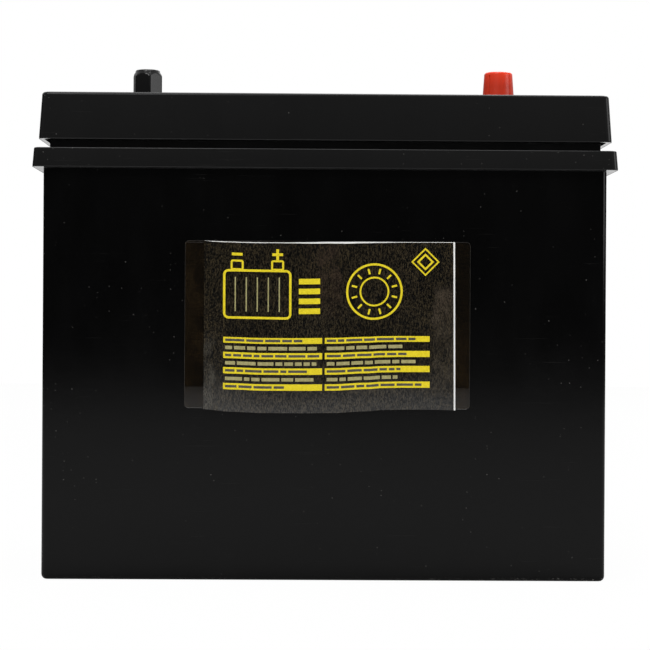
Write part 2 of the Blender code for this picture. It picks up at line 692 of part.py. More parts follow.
def strap(cell, pole):
    """Bar over the lugs, turned up at the partition where a link joins the next cell's strap."""
    low = cell_middle(cell) - CELL_WIDTH / 2 + STRAP_END_GAP
    high = cell_middle(cell) + CELL_WIDTH / 2 - STRAP_END_GAP
    linked = cell > 0 if pole == "negative" else cell < CELL_COUNT - 1
    outline = [(low, STRAP_BOTTOM), (high, STRAP_BOTTOM), (high, STRAP_TOP), (low, STRAP_TOP)]
    if linked and pole == "negative":
        bend = low + UPRIGHT_THICKNESS
        outline[3:] = [(bend, STRAP_TOP), (bend, UPRIGHT_TOP), (low, UPRIGHT_TOP)]
    elif linked:
        bend = high - UPRIGHT_THICKNESS
        outline[2:3] = [(high, UPRIGHT_TOP), (bend, UPRIGHT_TOP), (bend, STRAP_TOP)]
    middle = strap_side(cell, pole) * TERMINAL_Y
    return swept(outline, -middle - STRAP_WIDTH / 2, -middle + STRAP_WIDTH / 2, SWEEP_TO_FRONT)


def thick_path(points, thickness):
    """Closed outline of a strip along a path that turns only through right angles."""
    sides = []
    for (x0, y0), (x1, y1) in zip(points, points[1:]):
        length = math.hypot(x1 - x0, y1 - y0)
        sides.append(((y0 - y1) / length, (x1 - x0) / length))
    half = thickness / 2
    left, right = [], []
    for i, (x, y) in enumerate(points):
        meeting = [sides[i - 1]] if i == len(sides) else [sides[i]]
        if 0 < i < len(sides):
            meeting.append(sides[i - 1])
        dx = sum(side[0] for side in meeting) * half
        dy = sum(side[1] for side in meeting) * half
        left.append((x + dx, y + dy))
        right.append((x - dx, y - dy))
    return right + left[::-1]


def separator_path(cell):
    """Middle line of the folded mat, which passes through every gap and round the plates between."""
    gaps = sorted(
        [x + NEGATIVE_PLATE + PLATE_GAP / 2 for x in plate_starts(cell, "negative")[:-1]]
        + [x + POSITIVE_PLATE + PLATE_GAP / 2 for x in plate_starts(cell, "positive")]
    )
    fold = PLATE_HALF_DEPTH + CLEARANCE + MAT / 2
    points = []
    end = -1
    for x in gaps:
        points += [(x, end * fold), (x, -end * fold)]
        end = -end
    return points


def build_cells():
    for cell in range(CELL_COUNT):
        for pole, thickness in (("negative", NEGATIVE_PLATE), ("positive", POSITIVE_PLATE)):
            lug_y = strap_side(cell, pole) * TERMINAL_Y
            group = add_piece(f"{pole}_plates_{cell + 1}", strap(cell, pole), f"{pole}_paste")
            combine(group, "UNION", [plate(x, thickness, lug_y) for x in plate_starts(cell, pole)])
        mat = prism(thick_path(separator_path(cell), MAT), PLATE_BOTTOM, PLATE_TOP + MAT_OVERLAP)
        add_piece(f"separator_{cell + 1}", mat, "glass_mat")
    half = PARTITION / 2 + STRAP_END_GAP - CLEARANCE
    for link in range(CELL_COUNT - 1):
        x, y = link_place(link)
        shape = swept(circle(LINK_RADIUS, HIDDEN_SIDES), -half, half, SWEEP_ALONG_X)
        add_piece(f"cell_link_{link + 1}", shape, "lead", (x, y, LINK_HEIGHT))


def front_plate(name, length, height, radius, left, middle, back, thickness, finish):
    """Flat sheet on the label side, with its origin on its left edge, halfway up its back face."""
    shape = prism(rounded_rectangle(length, height, radius), 0, thickness)
    bmesh.ops.translate(shape, vec=(length / 2, 0, 0), verts=shape.verts)
    sheet = add_piece(name, shape, finish, (left, -back, middle))
    sheet.rotation_euler = SWEEP_TO_FRONT.to_euler()


def build_label():
    film_left = LABEL_OFFSET - LABEL_LENGTH / 2
    leaflet = (LEAFLET_LENGTH, LEAFLET_HEIGHT, LEAFLET_CORNER_RADIUS, LEAFLET_LEFT, LEAFLET_MIDDLE)
    front_plate(
        "label_film", LABEL_LENGTH, LABEL_HEIGHT, LABEL_CORNER_RADIUS, film_left, LABEL_MIDDLE,
        FILM_BACK, LABEL_FILM, "clear_film",
    )
    front_plate("leaflet_pages", *leaflet, PAGES_BACK, PAGES_THICKNESS, "paper")
    front_plate("leaflet_cover", *leaflet, LEAF_BACK, COVER_LEAF, "printed_leaf")


clear_scene()
build_container()
build_lid()
build_vents()
build_terminals()
build_cells()
build_label()
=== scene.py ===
"""Looks of the sealed deep cycle battery: finishes, printed leaflet, threads, studio and camera.

Units are metres in the part's own frame: +Z up, the label on the long side at -Y.
"""
import math
import random

import bpy
from mathutils import Matrix, Vector, noise


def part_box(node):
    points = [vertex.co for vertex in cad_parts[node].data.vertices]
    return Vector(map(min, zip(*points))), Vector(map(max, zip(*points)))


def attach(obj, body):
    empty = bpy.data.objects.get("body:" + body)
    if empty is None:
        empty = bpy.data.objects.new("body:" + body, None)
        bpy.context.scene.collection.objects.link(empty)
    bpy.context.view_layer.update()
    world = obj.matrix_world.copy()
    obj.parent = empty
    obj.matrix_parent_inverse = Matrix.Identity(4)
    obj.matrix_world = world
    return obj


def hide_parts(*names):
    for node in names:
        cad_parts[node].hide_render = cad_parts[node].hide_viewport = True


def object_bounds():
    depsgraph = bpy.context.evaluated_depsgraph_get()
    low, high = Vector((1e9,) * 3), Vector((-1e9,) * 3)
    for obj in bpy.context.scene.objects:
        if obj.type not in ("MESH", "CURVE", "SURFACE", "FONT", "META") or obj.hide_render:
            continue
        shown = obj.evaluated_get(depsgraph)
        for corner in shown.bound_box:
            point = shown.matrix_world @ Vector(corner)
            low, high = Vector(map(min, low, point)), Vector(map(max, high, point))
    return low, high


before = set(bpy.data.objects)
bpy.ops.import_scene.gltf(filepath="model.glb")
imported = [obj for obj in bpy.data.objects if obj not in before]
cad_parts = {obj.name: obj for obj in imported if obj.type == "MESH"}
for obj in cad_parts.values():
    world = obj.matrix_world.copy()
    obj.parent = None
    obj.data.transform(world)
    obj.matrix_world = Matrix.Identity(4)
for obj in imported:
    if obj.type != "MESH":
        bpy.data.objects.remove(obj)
cad_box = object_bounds()

MM = 0.001

# Camera, fitted to the photographed edges
CAMERA_DISTANCE = 1.0855
CAMERA_HEIGHT = 0.12070
CAMERA_YAW = math.radians(0.72)
CAMERA_ROLL = math.radians(0.34)
CAMERA_OFFSET = 0.00115
PIXEL_AT_RIM = 0.00046975
PHOTO_PIXELS = 650
SENSOR = 36.0

# Studio
STUDIO_RADIUS = 3.2
WALL_HEIGHT = 1.1
FLOOR_SHADE = 0.79
FLOOR_DROP = 0.0001
STUDIO_SIDES = 96

# Lower edges of the rim and of the lid's skirt, as the part has them
RIM_BOTTOM = 0.1944
RIM_OVERHANG = 0.00475
SKIRT_BOTTOM = 0.20775
SKIRT_OVERHANG = 0.00205

# Leaflet, on the frame's own boxes
film_low, film_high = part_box("label_film")
pages_low, pages_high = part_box("leaflet_pages")
leaf_low, leaf_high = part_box("leaflet_cover")
LEAF_LEFT = leaf_low[0]
LEAF_BOTTOM = leaf_low[2]
LEAF_LENGTH = leaf_high[0] - leaf_low[0]
LEAF_HEIGHT = leaf_high[2] - leaf_low[2]
PAGE_SHOWS_RIGHT = 0.00087
FILM_CORNER = 2.0
PAGE_SHEETS = 4
PAGE_STEP = (pages_high[1] - pages_low[1]) / PAGE_SHEETS
PAGE_FILL = 0.9
PAGE_FRONT = PAGE_FILL * PAGE_STEP - pages_high[1]
PAGE_TRIM = 0.00012
LEAF_STAND_OFF = 0.00010
LEAF_SHEET = 0.00024
INK_LIFT = 0.00003

# Cut edge of the label base: width, and (share of the width, rise) across it
BEAD_WIDTH = 0.0002
BEAD_PROFILE = ((0.0, -0.00002), (0.12, 0.00005), (0.6, 0.00006), (1.0, -0.00002))
LAYER_DROP = 0.95

# A face counts as level where its normal's height passes this
LEVEL_FACE = 0.97
DUST_COLOUR = (0.30, 0.29, 0.27, 1)


class Graph:
    """Node tree of one material or world, with short calls that add nodes and return sockets."""

    def __init__(self, tree):
        self.tree = tree
        tree.nodes.clear()

    def add(self, kind, inputs=None, **settings):
        node = self.tree.nodes.new(kind)
        for key, value in settings.items():
            setattr(node, key, value)
        for key, value in (inputs or {}).items():
            socket = node.inputs[key]
            if isinstance(value, bpy.types.NodeSocket):
                self.tree.links.new(value, socket)
            else:
                socket.default_value = value
        return node

    def place(self, scale=(1, 1, 1)):
        """Object coordinates in metres, each axis times its scale."""
        here = self.add("ShaderNodeTexCoord").outputs["Object"]
        if scale == (1, 1, 1):
            return here
        return self.add("ShaderNodeVectorMath", {0: here, 1: scale}, operation="MULTIPLY").outputs[0]

    def noise(self, vector, scale, detail=3.0, roughness=0.5):
        values = {"Vector": vector, "Scale": scale, "Detail": detail, "Roughness": roughness}
        return self.add("ShaderNodeTexNoise", values).outputs[0]

    def spread(self, value, low, high, to_low=0.0, to_high=1.0):
        values = {0: value, 1: low, 2: high, 3: to_low, 4: to_high}
        return self.add("ShaderNodeMapRange", values).outputs[0]

    def math(self, operation, first, second=0.5):
        return self.add("ShaderNodeMath", {0: first, 1: second}, operation=operation).outputs[0]

    def mix(self, factor, first, second):
        values = {0: factor, 6: first, 7: second}
        return self.add("ShaderNodeMix", values, data_type="RGBA").outputs[2]

    def bump(self, height, distance, strength=1.0, normal=None):
        values = {"Height": height, "Distance": distance, "Strength": strength}
        if normal is not None:
            values["Normal"] = normal
        return self.add("ShaderNodeBump", values).outputs[0]

    def specks(self, vector, scale, size, share):
        """Small dots: each cell of the pattern may hold one dot of random size."""
        cells = self.add("ShaderNodeTexVoronoi", {"Vector": vector, "Scale": scale})
        tone = self.add("ShaderNodeSeparateColor", {0: cells.outputs["Color"]})
        chosen = self.math("LESS_THAN", tone.outputs[0], share)
        radius = self.spread(tone.outputs[1], 0, 1, size * 0.35, size)
        inside = self.math("LESS_THAN", cells.outputs["Distance"], radius)
        return self.math("MULTIPLY", chosen, inside)

    def finish(self, **values):
        """Principled surface from the named sockets, as the tree's output."""
        inputs = {key.replace("_", " ").title().replace("Ior", "IOR"): value for key, value in values.items()}
        shader = self.add("ShaderNodeBsdfPrincipled", inputs)
        self.add("ShaderNodeOutputMaterial", {0: shader.outputs[0]})


def new_graph(name):
    material = bpy.data.materials.new(name)
    material.use_nodes = True
    return material, Graph(material.node_tree)


def tint(colour, factor=1.0):
    return (colour[0] * factor, colour[1] * factor, colour[2] * factor, 1.0)


def moulded(name, colour, roughness, specular, wave=0.00002, grain=0.0000016, dust=0.0, shell=False,
            painted_glow_top=None):
    """Moulded plastic with faint flow marks and fine grain.

    Dust, scuffs and painted light on the top, a lighter colour between two heights, come where asked for. A
    shell is sleek below and matt on top.
    """
    material, g = new_graph(name)
    here = g.place()
    flow = g.noise(g.place((1, 1, 0.35)), 70, 4)
    fine = g.noise(here, 2600, 2)
    rough = g.spread(flow, 0.3, 0.7, roughness * 0.88, roughness * 1.16)
    base = g.mix(g.spread(flow, 0.3, 0.7), tint(colour, 0.8), tint(colour, 1.25))
    spot = g.add("ShaderNodeSeparateXYZ", {0: here})
    # Painted light: the colour turns lighter between two heights, as if light from above shone through the
    # top.
    if painted_glow_top:
        glow_colour, low, high = painted_glow_top
        base = g.mix(g.spread(spot.outputs[2], low, high), base, tint(glow_colour))
    if dust:
        patches = g.spread(g.noise(here, 26, 3), 0.42, 0.68, 0.12, 1.0)
        foot = g.spread(spot.outputs[2], 0.0, 0.004, 2.5, 1.0)
        ends = g.spread(g.math("ABSOLUTE", spot.outputs[0]), 0.105, 0.13, 1.0, 2.0)
        share = g.math("MULTIPLY", g.math("MULTIPLY", patches, dust), g.math("MULTIPLY", foot, ends))
        dots = g.math("MAXIMUM", g.specks(here, 520, 0.12, share), g.specks(here, 330, 0.075, share))
        dots = g.math("MULTIPLY", dots, g.spread(g.noise(here, 700, 1), 0.35, 0.65, 0.03, 0.34))
        hair = g.noise(g.place((30, 30, 1700)), 1.0, 2)
        lines = g.math("MULTIPLY", g.spread(hair, 0.70, 0.74, 0, 0.025), patches)
        scuffs = g.spread(g.noise(g.place((700, 700, 1400)), 1.0, 4, 0.7), 0.57, 0.65)
        low = g.spread(spot.outputs[2], 0.0006, 0.0020, 1.0, 0.0)
        right = g.spread(spot.outputs[0], 0.02, 0.125, 0.25, 1.5)
        scuffs = g.math("MULTIPLY", g.math("MULTIPLY", scuffs, low), g.math("MULTIPLY", right, patches))
        lines = g.math("MAXIMUM", lines, scuffs)
        mark = g.math("MAXIMUM", dots, lines)
        base = g.mix(mark, base, DUST_COLOUR)
        rough = g.math("ADD", rough, g.math("MULTIPLY", mark, 0.5))
    extra = {}
    if shell:
        facing = g.add("ShaderNodeNewGeometry").outputs["True Normal"]
        slope = g.add("ShaderNodeSeparateXYZ", {0: facing}).outputs[2]
        down = g.math("LESS_THAN", slope, -LEVEL_FACE)
        up = g.math("GREATER_THAN", slope, LEVEL_FACE)
        specular = g.spread(down, 0, 1, specular, 1.0)
        rough = g.math("MULTIPLY", rough, g.spread(down, 0, 1, 1.0, 0.4))
        rough = g.math("ADD", rough, g.spread(up, 0, 1, 0.0, 0.24))
        extra["coat_weight"] = down
    soft = g.bump(g.noise(here, 95, 2), wave)
    g.finish(base_color=base, roughness=rough, specular_ior_level=specular,
             normal=g.bump(fine, grain, 1.0, soft), **extra)
    return material


def rubbery(name, dark, light, roughness, scale, depth, specular=0.4):
    """Soft or sintered stuff: two tones of speckle with a matching bump."""
    material, g = new_graph(name)
    here = g.place()
    speckle = g.noise(here, scale, 4, 0.65)
    base = g.mix(g.spread(speckle, 0.35, 0.65), tint(dark), tint(light))
    rough = g.spread(g.noise(here, scale * 0.2, 3), 0.3, 0.7, roughness - 0.06, roughness + 0.06)
    g.finish(base_color=base, roughness=rough, specular_ior_level=specular, normal=g.bump(speckle, depth))
    return material


def metal(name, dark, light, roughness, stretch, scale, depth):
    """Cast or drawn metal with tarnish and fine marks along one axis."""
    material, g = new_graph(name)
    here = g.place()
    tarnish = g.noise(here, 160, 5, 0.6)
    marks = g.noise(g.place(stretch), scale, 3)
    base = g.mix(g.spread(tarnish, 0.35, 0.65), tint(dark), tint(light))
    rough = g.spread(tarnish, 0.3, 0.7, roughness + 0.1, roughness - 0.06)
    g.finish(base_color=base, roughness=rough, metallic=1.0, normal=g.bump(marks, depth))
    return material


def fibrous(name, dark, light, roughness, stretch, scale, depth):
    """Paper, mat or paste: fibres or grains along one axis."""
    material, g = new_graph(name)
    fibres = g.noise(g.place(stretch), scale, 4, 0.6)
    clouds = g.noise(g.place(), 45, 3)
    tone = g.math("ADD", g.math("MULTIPLY", fibres, 0.6), g.math("MULTIPLY", clouds, 0.4))
    base = g.mix(g.spread(tone, 0.36, 0.64), tint(dark), tint(light))
    rough = g.spread(fibres, 0.3, 0.7, roughness - 0.05, roughness + 0.05)
    g.finish(base_color=base, roughness=rough, specular_ior_level=0.3, normal=g.bump(fibres, depth))
    return material


def clear_film():
    """Thin glossy label base, brownish, a little cloudy where it lies on the case."""
    material, g = new_graph("clear_film_finish")
    here = g.place()
    clouds = g.noise(here, 75, 4)
    rough = g.spread(g.noise(here, 500, 3), 0.35, 0.7, 0.006, 0.014)
    spot = g.add("ShaderNodeSeparateXYZ", {0: here})
    upper = g.spread(spot.outputs[2], 0.096, 0.135, 1.15, 0.3)
    share = g.spread(spot.outputs[0], -0.01, 0.01, 0.98, upper)
    tone = g.math("MULTIPLY", g.spread(clouds, 0.38, 0.62, 0.4, 1.35), share)
    base = g.mix(tone, (0.006, 0.0045, 0.0025, 1), (0.060, 0.0375, 0.0155, 1))
    g.finish(base_color=base, roughness=rough, ior=1.40, transmission_weight=0.85,
             normal=g.bump(g.noise(here, 60, 2), 0.0000008))
    return material


def patch(g, here, x_edges, z_edges, seed):
    """Cloudy patch of the leaflet, 0 to 1: full between the inner of four places along x and z."""
    spots = g.add("ShaderNodeSeparateXYZ", {0: here})
    bend = g.spread(g.noise(g.place((20, 20, 130)), 1.0, 3), 0.3, 0.7, -0.0015, 0.0015)
    cover = 1.0
    bent = g.math("ADD", spots.outputs[0], bend)
    for place, (a, b, c, d) in ((bent, x_edges), (spots.outputs[2], z_edges)):
        rise = g.spread(place, a * MM, b * MM)
        fall = g.spread(place, c * MM, d * MM, 1.0, 0.0)
        cover = g.math("MULTIPLY", cover, g.math("MULTIPLY", rise, fall))
    shifted = g.add("ShaderNodeVectorMath", {0: here, 1: (seed, 0, seed)}, operation="ADD").outputs[0]
    wisps = g.spread(g.noise(shifted, 120, 4, 0.6), 0.34, 0.6)
    return g.math("MULTIPLY", cover, wisps)


def leaf_print():
    """Dark metallic print of the leaflet's front: vertical brush grain under a clear varnish."""
    material, g = new_graph("leaflet_print_finish")
    here = g.place()
    grain = g.noise(g.place((2800, 2800, 850)), 1.0, 1.5, 0.7)
    streaks = g.noise(g.place((2300, 2300, 250)), 1.0, 1.5, 0.6)
    clouds = g.noise(here, 38, 3)
    tone = g.math("ADD", g.math("MULTIPLY", grain, 0.6), g.math("MULTIPLY", streaks, 0.32))
    tone = g.math("ADD", tone, g.math("MULTIPLY", clouds, 0.08))
    base = g.mix(g.spread(tone, 0.476, 0.596), (0.0, 0.0, 0.0, 1), (0.0360, 0.0265, 0.0125, 1))
    # Four patches mixed into the print: a brownish one at the top middle, and three paler painted
    # reflections, two of a crease on the right column and one of the fold at the left edge.
    for x_edges, z_edges, seed, most, colour in (
        ((-10, 0, 7.0, 8.4), (122, 134, 156, 161), 0.0, 0.75, (0.034, 0.022, 0.014, 1)),
        ((50, 51.2, 60, 62), (84, 100, 136, 142), 0.3, 0.8, (0.039, 0.031, 0.020, 1)),
        ((50.5, 51.5, 57, 61), (114, 125, 136, 140), 0.5, 0.6, (0.058, 0.043, 0.030, 1)),
        ((-58, -57, -53.6, -51.8), (78, 84, 108, 117), 0.7, 0.95, (0.052, 0.047, 0.036, 1)),
    ):
        tone_and_reflection = g.math("MULTIPLY", patch(g, here, x_edges, z_edges, seed), most)
        tone_and_reflection = g.math("MULTIPLY", tone_and_reflection, g.spread(grain, 0.42, 0.60, 0.35, 1.15))
        base = g.mix(tone_and_reflection, base, colour)
    rough = g.spread(clouds, 0.3, 0.7, 0.07, 0.11)
    soft = g.bump(g.noise(here, 55, 2), 0.000005)
    g.finish(base_color=base, roughness=rough, specular_ior_level=g.spread(grain, 0.38, 0.62, 0.54, 1.0),
             normal=g.bump(grain, 0.0000012, 1.0, soft))
    return material


def ink(name, dark, light):
    """Printed ink with slight mottling."""
    material, g = new_graph(name)
    mottle = g.noise(g.place((900, 900, 420)), 1.0, 4, 0.65)
    base = g.mix(g.spread(mottle, 0.32, 0.68), tint(dark), tint(light))
    rough = g.spread(mottle, 0.3, 0.7, 0.30, 0.42)
    g.finish(base_color=base, roughness=rough, specular_ior_level=0.35, normal=g.bump(mottle, 0.000002))
    return material


BLACK = (0.0013, 0.0013, 0.00133)
FINISH = {
    "case": moulded("case_finish", BLACK, 0.11, 0.135, wave=0.000012, dust=0.36, shell=True),
    "lid": moulded("lid_finish", BLACK, 0.18, 0.135, wave=0.00001, dust=0.30, shell=True),
    "flash": moulded("flash_finish", BLACK, 0.16, 0.25, wave=0.000004),
    "cover": moulded("vent_cover_finish", BLACK, 0.26, 0.2, wave=0.00001, dust=0.2),
    "frit": rubbery("porous_polymer_finish", (0.42, 0.41, 0.38), (0.66, 0.65, 0.61), 0.85, 2200, 0.00009),
    "valve": rubbery("valve_rubber_finish", (0.014, 0.014, 0.015), (0.03, 0.03, 0.032), 0.62, 1500, 0.00002),
    "black_resin": rubbery("black_resin_finish", (0.005, 0.005, 0.006),
                           (0.012, 0.012, 0.013), 0.2, 300, 0.00004),
    "red_resin": rubbery("red_resin_finish", (0.30, 0.012, 0.01), (0.46, 0.025, 0.018), 0.2, 300, 0.00004),
    "lead": metal("lead_finish", (0.22, 0.225, 0.235), (0.42, 0.425, 0.44), 0.42, (1, 1, 0.5), 900, 0.00003),
    "steel": metal("stud_steel_finish", (0.45, 0.44, 0.42), (0.66, 0.65, 0.63), 0.24,
                   (1, 1, 6), 700, 0.000006),
    "black_cap": moulded("black_cap_finish",
                         (0.0012, 0.0012, 0.0013), 0.17, 0.24, 0.00001, 0.000004, dust=0.5),
    # Red cap with painted light on its top, lighter and more orange.
    "red_cap": moulded("red_cap_finish", (0.58, 0.029, 0.005), 0.30, 0.22, 0.00001, 0.000003, dust=0.12,
                       painted_glow_top=((0.86, 0.046, 0.010), 0.2475, 0.2542)),
    "negative_paste": fibrous("negative_paste_finish", (0.10, 0.105, 0.11), (0.19, 0.195, 0.2), 0.75,
                              (1, 1, 1), 800, 0.00008),
    "positive_paste": fibrous("positive_paste_finish", (0.045, 0.022, 0.014), (0.10, 0.052, 0.034), 0.8,
                              (1, 1, 1), 800, 0.00008),
    "mat": fibrous("glass_mat_finish", (0.62, 0.62, 0.60), (0.82, 0.82, 0.80), 0.8,
                   (1, 1, 0.25), 1600, 0.00006),
    "film": clear_film(),
    "film_edge": rubbery("film_edge_finish", (0.010, 0.009, 0.0075),
                         (0.032, 0.029, 0.025), 0.22, 900, 0.00001),
    "print": leaf_print(),
    "paper": fibrous("leaflet_paper_finish", (0.87, 0.865, 0.85), (0.965, 0.96, 0.945), 0.7,
                     (1, 1, 0.4), 900, 0.00001),
    "yellow_ink": ink("yellow_ink_finish", (0.67, 0.535, 0.006), (0.80, 0.64, 0.013)),
    "pale_ink": ink("pale_ink_finish", (0.28, 0.255, 0.10), (0.39, 0.355, 0.165)),
    "dark_ink": ink("dark_ink_finish", (0.045, 0.041, 0.032), (0.085, 0.078, 0.062)),
    "grey_ink": ink("grey_ink_finish", (0.20, 0.20, 0.20), (0.30, 0.30, 0.30)),
}


def dress(name, finish, bevel=0.0, segments=2, flat=60):
    """Give a carried-over CAD node its finish and soft shading, with its mesh as it is."""
    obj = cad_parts[name]
    mesh = obj.data
    normals = mesh.attributes.get("custom_normal")
    if normals:
        mesh.attributes.remove(normals)
    mesh.shade_smooth()
    mesh.materials.clear()
    mesh.materials.append(FINISH[finish])
    weld = obj.modifiers.new("weld", "WELD")
    weld.merge_threshold = 0.000002
    if bevel:
        whole = obj.modifiers.new("whole_faces", "DECIMATE")
        whole.decimate_type = "DISSOLVE"
        whole.angle_limit = math.radians(0.15)
        edge = obj.modifiers.new("soft_edges", "BEVEL")
        edge.width = bevel
        edge.segments = segments
        edge.limit_method = "ANGLE"
        edge.angle_limit = math.radians(31)
        edge.use_clamp_overlap = False
        even = obj.modifiers.new("even_shading", "WEIGHTED_NORMAL")
        even.weight = flat
    else:
        split = obj.modifiers.new("sharp_edges", "EDGE_SPLIT")
        split.split_angle = math.radians(35)
    return obj


def add_mesh(name, verts, faces, finishes, body, replaces=(), smooth=True, face_finish=None):
    """New piece from lists of points and faces, riding on a body."""
    mesh = bpy.data.meshes.new(name)
    mesh.from_pydata([tuple(v) for v in verts], [], faces)
    mesh.validate()
    obj = bpy.data.objects.new(name, mesh)
    bpy.context.scene.collection.objects.link(obj)
    for finish in finishes:
        mesh.materials.append(FINISH[finish])
    if face_finish:
        mesh.polygons.foreach_set("material_index", face_finish)
    if smooth:
        mesh.shade_smooth()
    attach(obj, body)
    if replaces:
        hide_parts(*replaces)
    return obj


def sharpen(obj, degrees=35):
    split = obj.modifiers.new("sharp_edges", "EDGE_SPLIT")
    split.split_angle = math.radians(degrees)


def eased(value):
    value = min(1.0, max(0.0, value))
    return value * value * (3 - 2 * value)


def along(places, at):
    """Smooth reading between (place, value) pairs."""
    for (a, va), (b, vb) in zip(places, places[1:]):
        if at <= b:
            return va + (vb - va) * eased((at - a) / (b - a))
    return places[-1][1]


# How far the leaflet's lines dip (+) along its length in mm, at its bottom and at its top
DIP_BOTTOM = ((0, -0.15), (12.6, 0.97), (27.7, 1.49), (45.7, 1.52), (59.9, 1.34), (76.4, 0.43), (83.5, -0.18),
              (93, -0.43), (107, -0.47), (118, -0.21))
DIP_TOP = ((0, -0.27), (4, 0.08), (12.6, 0.26), (18, 0.43), (27.7, 0.52), (40.6, 0.50),
           (45.7, 0.37), (59.9, 0.10), (76.4, -0.05), (97, -0.03), (118, -0.10))
# How far the pages show above the cover along its length, in mm
SHOWS_TOP = ((0, 0.08), (4, 0.28), (8.2, 0.36), (25, 0.41), (33.5, 0.36), (42, 0.46),
             (46.2, 0.62), (54.6, 0.75), (67.3, 0.87), (75.7, 0.70), (84, 0.50), (92.6, 0.29),
             (100, 0.24), (118, 0.28))


def leaf_point(s, t, depth):
    """Point of the leaflet: s and t in metres from its left and bottom edges, depth out from the case."""
    share = t / LEAF_HEIGHT
    dip = along(DIP_BOTTOM, s / MM) * (1 - share) + along(DIP_TOP, s / MM) * share
    lean = s / LEAF_LENGTH * (0.8 - 0.6 * share)
    return Vector((LEAF_LEFT + s + lean * MM, -depth, LEAF_BOTTOM + t - dip * MM))


def leaf_swell(s, t):
    """How far the loose cover leaf stands off: most along its free lower edge."""
    free = eased((s / MM - 6) / 30) * (1 - 0.75 * eased((s / MM - 70) / 30))
    lower = 1 - eased(t / (0.55 * LEAF_HEIGHT))
    ripple = noise.noise(Vector((s * 26, t * 26, 3.1))) * 0.05 * eased(s / MM / 10)
    return (0.15 * free * lower + 0.06 * eased(s / MM / 10) + ripple) * MM


def cover_point(s, t, lift):
    return leaf_point(s, t, -leaf_high[1] + LEAF_STAND_OFF + leaf_swell(s, t) + lift)


def grid(rows, columns, point):
    verts = [point(i / columns, j / rows) for j in range(rows + 1) for i in range(columns + 1)]
    faces = []
    for j in range(rows):
        for i in range(columns):
            a = j * (columns + 1) + i
            faces.append((a, a + 1, a + columns + 2, a + columns + 1))
    return verts, faces


def sheet_solid(rows, columns, front, back):
    """Closed thin sheet between two grids, with its front faces first, then back, then edges."""
    verts, faces = grid(rows, columns, front)
    count = len(verts)
    behind, _ = grid(rows, columns, back)
    verts += behind
    kinds = [0] * len(faces)
    faces += [tuple(count + k for k in reversed(face)) for face in faces]
    kinds += [1] * (len(faces) - len(kinds))
    outline = list(range(columns + 1))
    outline += [j * (columns + 1) + columns for j in range(1, rows + 1)]
    outline += [rows * (columns + 1) + i for i in range(columns - 1, -1, -1)]
    outline += [j * (columns + 1) for j in range(rows - 1, 0, -1)]
    for a, b in zip(outline, outline[1:] + outline[:1]):
        faces.append((b, a, a + count, b + count))
        kinds.append(1)
    return verts, faces, kinds


def build_leaflet():
    length = LEAF_LENGTH - PAGE_SHOWS_RIGHT

    def height(s):
        return LEAF_HEIGHT - along(SHOWS_TOP, s / MM) * MM

    def front(u, v):
        return cover_point(u * length, v * height(u * length), LEAF_SHEET)

    def back(u, v):
        return cover_point(u * length, v * height(u * length), 0.0)

    verts, faces, kinds = sheet_solid(40, 64, front, back)
    cover = add_mesh("leaflet_cover_leaf", verts, faces, ("print", "paper"), "leaflet_cover",
                     ("leaflet_cover",), face_finish=kinds)
    sharpen(cover, 50)

    verts, faces = [], []
    for k in range(PAGE_SHEETS):
        depth = k * PAGE_STEP
        trim = PAGE_TRIM * k

        def page_front(u, v):
            s, t = u * (LEAF_LENGTH - trim), v * (LEAF_HEIGHT - trim * 0.6)
            return leaf_point(s, t, depth + PAGE_FRONT)

        def page_back(u, v):
            s, t = u * (LEAF_LENGTH - trim), v * (LEAF_HEIGHT - trim * 0.6)
            return leaf_point(s, t, depth - pages_high[1])

        more, more_faces, _ = sheet_solid(8, 40, page_front, page_back)
        offset = len(verts)
        verts += more
        faces += [tuple(offset + i for i in face) for face in more_faces]
    pages = add_mesh("leaflet_inner_pages", verts, faces, ("paper",), "battery",
                     ("leaflet_pages",))
    sharpen(pages, 50)


def build_film_edge():
    """Cut edge of the label base: a low bead round its outline, and one along a second layer's top edge."""
    front = -film_low[1]
    left, right = film_low[0] / MM, film_high[0] / MM
    low, high = film_low[2] / MM, film_high[2] / MM
    loop = rounded_box(left, right, low, high, FILM_CORNER, 6)
    layer = line((left + 1.2, high - LAYER_DROP), (LEAF_LEFT / MM - 0.3, high - LAYER_DROP))
    verts, faces = [], []
    for points, closed in ((loop, True), (layer, False)):
        points = [Vector(p) * MM for p in points]
        count = len(points)
        start = len(verts)
        for i in range(count):
            before = points[i - 1] if i or closed else points[i]
            after = points[(i + 1) % count] if i < count - 1 or closed else points[i]
            tangent = (after - before).normalized()
            inward = Vector((-tangent.y, tangent.x))
            for share, rise in BEAD_PROFILE:
                spot = points[i] + inward * (BEAD_WIDTH * share)
                verts.append((spot.x, -front - rise, spot.y))
        for i in range(count if closed else count - 1):
            a, b = start + 4 * i, start + 4 * ((i + 1) % count)
            for j, k in ((0, 1), (1, 2), (2, 3), (3, 0)):
                faces.append((a + j, b + j, b + k, a + k))
        if not closed:
            last = start + 4 * (count - 1)
            faces += [(start, start + 1, start + 2, start + 3), (last + 3, last + 2, last + 1, last)]
    add_mesh("label_film_edge", verts, faces, ("film_edge",), "battery", smooth=False)


